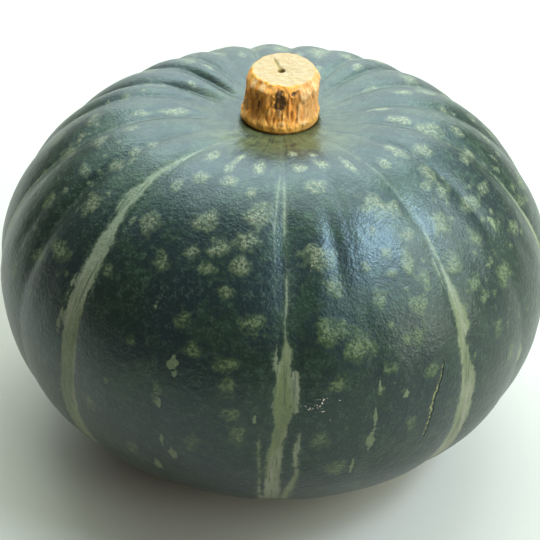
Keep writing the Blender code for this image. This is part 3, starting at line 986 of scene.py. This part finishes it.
def rind_finish():
    made = Finish("rind waxy skin")
    place = made.place()
    skin = made.own_place("skin")
    arc = made.own("arc")
    streaky = made.stretched(skin, 1.0, 1.0, 0.22)
    edge = made.noise(made.stretched(skin, 1.0, 1.0, 0.45), 2.2 * MM, 3.0, 0.6)
    worm = made.noise(place, 1.7 * MM, 1.0, 0.5)
    speck = made.noise(place, 0.75 * MM, 2.0, 0.6)
    lump = made.noise(place, 3.6 * MM, 2.0)
    cloud = made.noise(place, 16.0 * MM, 3.0)
    broad = made.noise(place, 42.0 * MM, 2.0)

    colour = made.blend(SKIN_BLUE, SKIN_DARK, broad.rise(0.40, 0.58))
    mottle = cloud + (lump - 0.5) * 0.7 + (worm - 0.5) * 0.4
    colour = made.blend(colour, SKIN_GREEN, mottle.rise(0.40, 0.70) * 0.85)
    # Painted highlight: faint lighter specks for glints on the pebbled skin; the same grain also textures
    # blotches and stripes
    grain_and_glints = (speck + (worm - 0.5) * 0.5).rise(0.48, 0.66)
    colour = made.blend(colour, SKIN_GLINT_SPECK, grain_and_glints * (0.15 + 0.40 * lump.rise(0.38, 0.62)))
    lower = arc.rise(60.0 * MM, 98.0 * MM)
    colour = made.blend(colour, SKIN_DEEP, lower * 0.35)
    near_stalk = 1.0 - arc.rise(16.0 * MM, 38.0 * MM)
    streaks = made.noise(streaky, 5.0 * MM, 3.0, 0.6)
    behind = made.parts(skin)[1].rise(-0.88 * HALF_WIDTH, -0.30 * HALF_WIDTH)
    olive = near_stalk * (streaks * 0.6 + lump * 0.4).rise(0.32, 0.60) * (0.9 - behind * 0.6)
    colour = made.blend(colour, SKIN_OLIVE, olive)

    field, faint = made.own("blotch"), made.own("haze")
    blotch = field + (lump - 0.5) * 1.6 + (worm - 0.5) * 0.6
    haze = faint + (lump - 0.5) * 1.8 + (worm - 0.5) * 0.6
    rim = (blotch.rise(-0.65, -0.25) * (1.0 - blotch.rise(-0.15, 0.25))).most(
        haze.rise(-0.50, -0.20) * (1.0 - haze.rise(-0.05, 0.3)) * 0.5)
    colour = made.blend(colour, SKIN_BLUE, rim * 0.75)
    patch = blotch.rise(-0.30, 0.45).most(haze.rise(-0.20, 0.60) * 0.85)
    ripple = made.sum_of("PINGPONG", field.most(faint) * 1.3 + (worm - 0.5) * 2.6 + lump * 1.2, 0.5)
    clump = made.noise(made.stretched(skin, 1.0, 1.0, 1.5), 1.3 * MM, 2.0, 0.6)
    ridges = (clump + (ripple - 0.25) * 0.30).rise(0.43, 0.58)
    ground = made.blend(BLOTCH_GROUND, BLOTCH_OLIVE, lower)
    colour = made.blend(colour, ground, patch * (0.38 + 0.52 * ridges.most(grain_and_glints)))
    spot_paint = made.blend(BLOTCH_GREEN, TAN, (cloud + (lump - 0.5) * 0.9).rise(0.42, 0.58))
    spot_paint = made.blend(CREAM, spot_paint, arc.rise(34.0 * MM, 56.0 * MM))
    spot_paint = made.blend(spot_paint, BLOTCH_LOWER, lower * 0.8)
    core = blotch.rise(-0.10, 0.75).most(haze.rise(0.0, 0.80) * 0.90)
    spotted = core * ridges * (0.40 + 0.60 * speck.rise(0.36, 0.62)) * (1.0 - lower * 0.30)
    colour = made.blend(colour, spot_paint, spotted * 0.80)

    flecked = (made.own("fleck") + (worm - 0.5) * 1.5).rise(0.0, 0.22)
    colour = made.blend(colour, FLECK_GREEN, flecked * (0.4 + 0.6 * speck))
    colour = made.blend(colour, NICK_PALE, (made.own("nick") + (speck - 0.655) * 5.0).rise(0.0, 0.5))
    off, width, _ = made.parts(made.own_place("scratch"))
    scratched = width - abs(off + (worm - 0.5) * 1.2)
    scored = (scratched + 0.55).rise(0.0, 0.40)
    colour = made.blend(colour, SKIN_DEEP, scored)
    bared = (scratched + (speck - 0.5) * 1.4 - 0.02).rise(0.0, 0.30)
    colour = made.blend(colour, SCRATCH_PALE, bared * 0.7)
    # Painted shade: a thin dark line along the groove beside the right stripe
    off, width, _ = made.parts(made.own_place("groove_shade"))
    colour = made.blend(colour, SKIN_BLUE, (width - abs(off + (worm - 0.5) * 1.2)).rise(-0.2, 0.3) * 0.8)

    across = made.parts(made.own_place("across"))
    half = made.parts(made.own_place("half"))
    inside = [width - abs(off) for off, width in zip(across, half)]
    widest = inside[0].most(inside[1]).most(inside[2])
    ragged = (edge - 0.5) * 3.2 + (worm - 0.5) * 1.5 + (speck - 0.5) * 1.2
    upper = 1.0 - arc.rise(72.0 * MM, 98.0 * MM)
    band = (widest + 1.4 + ragged * 0.8).rise(0.0, 2.2) * (0.34 + 0.14 * upper)
    colour = made.blend(colour, made.blend(STRIPE_DARK, STRIPE_GREY, upper * 0.35), band)
    basin = made.own("basin")
    stripe = (widest + ragged * half[0].rise(-0.5, 3.0).most(0.35)).rise(-0.25, 0.50)
    stripe *= (basin + ragged).rise(9.0, 22.0)
    lines = made.noise(made.stretched(skin, 1.0, 1.0, 0.09), 0.9 * MM, 2.0, 0.6)
    tinge = made.noise(streaky, 6.0 * MM, 3.0).rise(0.36, 0.60)
    stripe_paint = made.blend(STRIPE_PALE, STRIPE_OLIVE, tinge)
    stripe_paint = made.blend(stripe_paint, STRIPE_GREY, upper * 0.75)
    stripe_paint = made.blend(stripe_paint, STRIPE_DARK, (lines.rise(0.50, 0.68) * 0.7).most(
        (1.0 - (widest + ragged * 0.5).rise(0.0, 1.1)) * 0.5).most(grain_and_glints * 0.35))
    colour = made.blend(colour, stripe_paint, stripe * 0.90)
    scar = 1.0 - (basin + (worm - 0.5) * 3.0).rise(4.8, 6.4)
    colour = made.blend(colour, made.blend(SCAR_BROWN, SCAR_TAN, speck.rise(0.38, 0.62)), scar)

    relief = speck * 0.75 + worm * 0.6 + lump * 0.35 + spotted * 0.2 - scored * 1.6
    made.set(Base_Color=colour, Roughness=0.33 + stripe * 0.10 + spotted * 0.14 + scar * 0.40,
             Normal=made.bump(relief, 0.17 * MM))
    made.shader.inputs["IOR"].default_value = 1.5
    made.shader.inputs["Specular Tint"].default_value = (0.82, 0.97, 1.0, 1.0)
    return made.material


CORK_CREAM = (0.430, 0.305, 0.170)
CORK_HONEY = (0.400, 0.245, 0.100)
CORK_PALE = (0.680, 0.420, 0.190)
# Painted light: tan and gold paint the lit side, amber and orange the shaded side, brightened for its lack
# of light
CORK_TAN_LIT_SIDE = (0.460, 0.208, 0.058)
CORK_AMBER_SHADED_SIDE = (0.960, 0.440, 0.080)
CORK_ORANGE_SHADED_SIDE = (0.920, 0.310, 0.035)
CORK_GOLD_LIT_SIDE = (0.510, 0.235, 0.030)
CORK_OLIVE = (0.260, 0.180, 0.045)
CORK_BROWN = (0.540, 0.200, 0.034)
CORK_BLACK = (0.055, 0.028, 0.010)


def cork_finish():
    made = Finish("cork dry stalk")
    place = made.place()
    fibres = made.own_place("fibres")
    height = made.own("height")
    tone = made.noise(fibres, 2.6 * MM, 3.0, 0.6)
    fine = made.noise(fibres, 0.55 * MM, 2.0, 0.6)
    crumb = made.noise(place, 1.1 * MM, 3.0, 0.6)

    # Painted light: bright orange and amber on the shaded side, darker tan and more mealy pale on the lit
    # side
    painted_lit_side = made.own("painted_lit_side")
    colour = made.blend(CORK_ORANGE_SHADED_SIDE, CORK_AMBER_SHADED_SIDE, (tone + (fine - 0.5) * 0.6).rise(0.42, 0.64))
    colour = made.blend(colour, CORK_TAN_LIT_SIDE, painted_lit_side * 0.85)
    mealy = (fine * 0.5 + crumb * 0.5).rise(0.47, 0.62)
    colour = made.blend(colour, CORK_PALE, mealy * (0.30 + painted_lit_side * 0.18))
    ridged = (made.own("pale") + (crumb - 0.5) * 2.8).rise(0.0, 0.80)
    colour = made.blend(colour, CORK_PALE, ridged * 0.70)
    stained = (made.own("stain") + (crumb - 0.5) * 2.0).rise(-0.10, 0.80)
    colour = made.blend(colour, CORK_BROWN, stained * 0.75)
    colour = made.blend(colour, CORK_BROWN, made.own("crack").rise(0.15, 0.70) * 0.80)
    decayed = (made.own("decay") + (crumb - 0.5) * 1.6).rise(-0.10, 0.60)
    colour = made.blend(colour, CORK_BLACK, decayed * 0.90)
    lip = 1.0 - (height + (crumb - 0.5) * 5.0).rise(2.2, 4.8)
    # Painted light: the lip is bright amber on the shaded side and darker gold on the lit side
    lip_paint = made.blend(CORK_AMBER_SHADED_SIDE, CORK_GOLD_LIT_SIDE, painted_lit_side)
    colour = made.blend(colour, made.blend(lip_paint, CORK_PALE, mealy * 0.4), lip * 0.80)

    rings = made.noise(made.stretched(place, 1.0, 2.4, 0.5), 4.0 * MM, 3.0, 0.6)
    cut_paint = made.blend(CORK_CREAM, CORK_HONEY, abs(rings - 0.5).rise(0.0, 0.10) * -0.8 + 0.8)
    split = (made.own("split") + (crumb - 0.5) * 0.4).rise(0.10, 0.90)
    cut_paint = made.blend(cut_paint, CORK_OLIVE, split * 0.75)
    pith = made.own("pith").rise(0.15, 0.8)
    cut_paint = made.blend(cut_paint, CORK_OLIVE, pith)
    cut = (made.own("cut") + (crumb - 0.5) * 0.8).rise(0.30, 0.60)
    colour = made.blend(colour, cut_paint, cut.most(pith))
    made.set(Base_Color=colour, Roughness=0.78, Normal=made.bump(crumb + fine * 0.5, 0.22 * MM))
    return made.material


CAMERA_ELEVATION = math.radians(33.85)
CAMERA_DISTANCE = 4.5 * HALF_WIDTH  # from the middle of the fruit's widest ring
CAMERA_TARGET = (-0.011 * HALF_WIDTH, 0.0, -0.0858 * HALF_WIDTH + FOOT_DEPTH)
CAMERA_ROLL = math.radians(1.35)
SENSOR_WIDTH = 36.0  # in mm
LENS = 80.52  # in mm


def set_camera():
    """The photograph's view: from the front and above, with the fruit just filling the frame."""
    back, up = math.cos(CAMERA_ELEVATION), math.sin(CAMERA_ELEVATION)
    place = Vector((0.0, -CAMERA_DISTANCE * back, CAMERA_DISTANCE * up + FOOT_DEPTH))
    data = bpy.data.cameras.new("camera")
    data.sensor_width = SENSOR_WIDTH
    data.lens = LENS
    camera = bpy.data.objects.new("camera", data)
    turn = (Vector(CAMERA_TARGET) - place).to_track_quat("-Z", "Y").to_matrix().to_4x4()
    camera.matrix_world = Matrix.Translation(place) @ turn @ Matrix.Rotation(CAMERA_ROLL, 4, "Z")
    bpy.context.collection.objects.link(camera)
    bpy.context.scene.camera = camera


LIGHT_DISTANCE = 1.6
LIGHTS = (  # name, azimuth, elevation, width, height and radiance
    ("back_high", 180.0, 50.0, 1.5, 0.8, (4.9, 5.9, 6.3)),
    ("back_low", 180.0, 19.0, 1.6, 0.8, (2.0, 2.4, 2.4)),
    ("overhead", 180.0, 78.0, 1.1, 0.8, (3.8, 4.6, 4.2)),
    ("window", 92.0, 42.0, 0.9, 1.2, (5.3, 6.0, 5.4)),
    ("skylight", 76.0, 57.0, 0.58, 0.30, (17.7, 24.2, 33.5)),
    ("low_right", 63.0, 16.0, 0.7, 0.45, (7.6, 7.8, 6.2)),
    ("right_front", 46.0, 42.0, 0.8, 0.7, (2.9, 3.8, 3.9)),
    ("left_back", 225.0, 45.0, 0.9, 1.0, (1.5, 2.1, 1.8)),
    ("right_back", 135.0, 45.0, 0.9, 1.0, (1.3, 1.9, 1.8)),
)
ROOM_LIGHT = (0.14, 0.13, 0.13)


def panel(name, azimuth, elevation, width, height, radiance):
    """A soft panel that looks at the fruit, with the same brightness however large it is."""
    data = bpy.data.lights.new(name, "AREA")
    data.shape = "RECTANGLE"
    data.size, data.size_y = width, height
    brightest = max(radiance)
    data.color = [share / brightest for share in radiance]
    data.energy = math.pi * width * height * brightest
    around, above = math.radians(azimuth), math.radians(elevation)
    way = Vector((math.sin(around) * math.cos(above), -math.cos(around) * math.cos(above), math.sin(above)))
    light = bpy.data.objects.new(name, data)
    turn = way.to_track_quat("Z", "Y").to_matrix().to_4x4()
    light.matrix_world = Matrix.Translation(way * LIGHT_DISTANCE) @ turn
    bpy.context.collection.objects.link(light)


def set_lights():
    for row in LIGHTS:
        panel(*row)
    world = bpy.data.worlds.new("room")
    world.use_nodes = True
    world.node_tree.nodes["Background"].inputs["Color"].default_value = paint(ROOM_LIGHT)
    bpy.context.scene.world = world


FLOOR_SIZE = 12.0
FLOOR_DROP = 0.2 * MM
FLOOR_DARKER = (0.45, 0.41, 0.355)
FLOOR_LIGHTER = (0.48, 0.44, 0.385)


def lay_floor():
    mesh = bmesh.new()
    bmesh.ops.create_grid(mesh, x_segments=1, y_segments=1, size=FLOOR_SIZE)
    floor = add_piece("floor", mesh)
    floor.data.transform(Matrix.Translation((0.0, 0.0, -FLOOR_DROP)))
    made = Finish("floor matt white")
    shade = made.noise(made.place(), 0.3)
    made.set(Base_Color=made.blend(FLOOR_DARKER, FLOOR_LIGHTER, shade), Roughness=0.9)
    floor.data.materials.append(made.material)


def fit_to_frame(rind):
    """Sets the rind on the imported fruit's box, and gives how far that moved it."""
    low, high = (np.array(corner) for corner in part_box("fruit"))
    places = corners(rind.data)
    own_low, own_high = places.min(0), places.max(0)
    scale = (high - low) / (own_high - own_low)
    move_corners(rind.data, low + (places - own_low) * scale)
    return Vector((low + high - own_low - own_high) / 2.0)


rind = make_rind()
cork = make_cork()
shift = fit_to_frame(rind)
seat = rind_outline()[1][0]
cork.data.transform(Matrix.Translation(shift + Vector((*STALK_OFFSET, seat))))
rind.data.materials.append(rind_finish())
cork.data.materials.append(cork_finish())
for piece, node, slot in ((rind, "fruit", "rind"), (cork, "stem", "cork")):
    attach(piece, "root")
    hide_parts(node)
lay_floor()
set_lights()
set_camera()
bpy.context.scene.view_settings.view_transform = "Standard"
